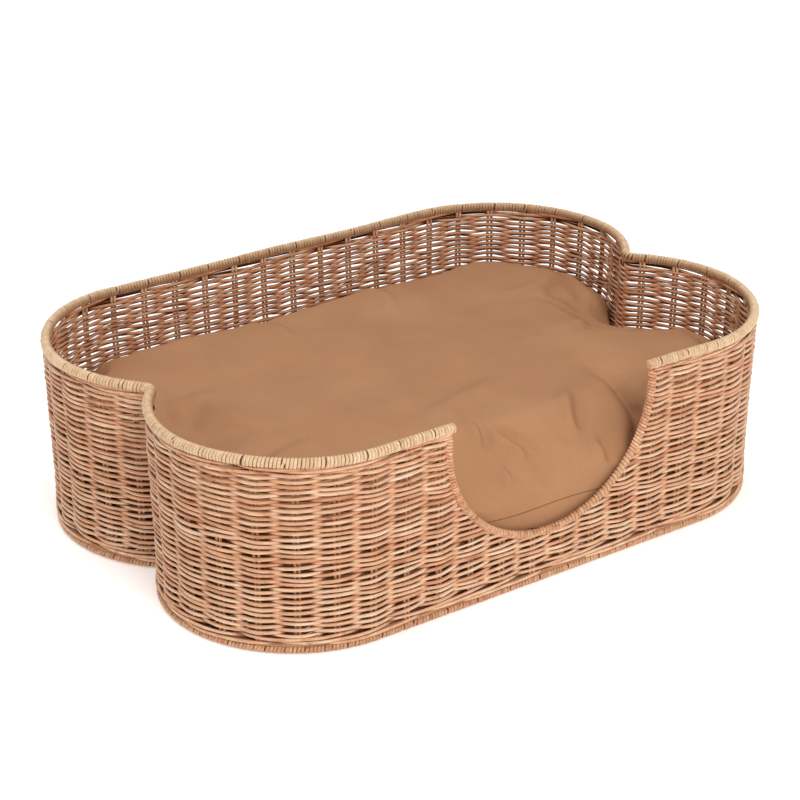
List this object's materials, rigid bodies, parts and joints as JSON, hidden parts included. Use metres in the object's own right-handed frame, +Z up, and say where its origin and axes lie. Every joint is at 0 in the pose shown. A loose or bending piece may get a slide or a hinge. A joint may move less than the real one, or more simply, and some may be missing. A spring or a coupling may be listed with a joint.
{
  "type": "wicker pet bed basket",
  "caption": "Bone-shaped woven rattan pet basket with a low U-shaped entry in one long side, a cane-bound rim and a loose zipped canvas cushion.",
  "frame": {"origin": "centre of the basket's footprint, on the surface it stands on", "axes": "+X along the long side, -Y out through the entry, +Z up"},
  "size_m": [0.7996, 0.565, 0.234],
  "materials": {
    "rattan": "satin",
    "rattan_core": "satin",
    "cane": "satin",
    "canvas": "matte",
    "filling": "matte",
    "zip_tape": "matte",
    "zip_metal": "satin"
  },
  "bodies": {
    "basket": {"base_pole": "rattan_core", "base_binding": "cane", "floor_weave": "rattan", "lower_wale": "rattan", "wall_weave": "rattan", "upper_wale": "rattan", "entry_pole": "rattan", "entry_binding": "cane", "rim_pole": "rattan_core", "rim_binding": "cane", "stake_01": "rattan_core", "stake_02": "rattan_core", "stake_03": "rattan_core", "stake_04": "rattan_core", "stake_05": "rattan_core", "stake_06": "rattan_core", "stake_07": "rattan_core", "stake_08": "rattan_core", "stake_09": "rattan_core", "stake_10": "rattan_core", "stake_11": "rattan_core", "stake_12": "rattan_core", "stake_13": "rattan_core", "stake_14": "rattan_core", "stake_15": "rattan_core", "stake_16": "rattan_core", "stake_17": "rattan_core", "stake_18": "rattan_core", "stake_19": "rattan_core", "stake_20": "rattan_core", "stake_21": "rattan_core", "stake_22": "rattan_core", "stake_23": "rattan_core", "stake_24": "rattan_core", "stake_25": "rattan_core", "stake_26": "rattan_core", "stake_27": "rattan_core", "stake_28": "rattan_core", "floor_stick_01": "rattan_core", "floor_stick_02": "rattan_core", "floor_stick_03": "rattan_core", "floor_stick_04": "rattan_core", "floor_stick_05": "rattan_core", "floor_stick_06": "rattan_core", "floor_stick_07": "rattan_core", "floor_stick_08": "rattan_core", "floor_stick_09": "rattan_core"},
    "cushion": {"cushion_cover": "canvas", "cushion_pad": "filling", "zip_tape_upper": "zip_tape", "zip_tape_lower": "zip_tape"},
    "zip_slider": {"zip_slider": "zip_metal"},
    "zip_pull": {"zip_pull": "zip_metal"}
  },
  "joints": [
    {"name": "cushion_lift", "type": "slide", "parent": "basket", "child": "cushion", "axis": [0, 0, 1], "range_m": [0, 0.3]},
    {"name": "zip_slide", "type": "slide", "parent": "cushion", "child": "zip_slider", "axis": [-1, 0, 0], "range_m": [0, 0.37]},
    {"name": "pull_flip", "type": "hinge", "parent": "zip_slider", "child": "zip_pull", "pos_m": [0.188, 0.2653, 0.0908], "axis": [0, 0, 1], "range_deg": [0, 12]}
  ]
}
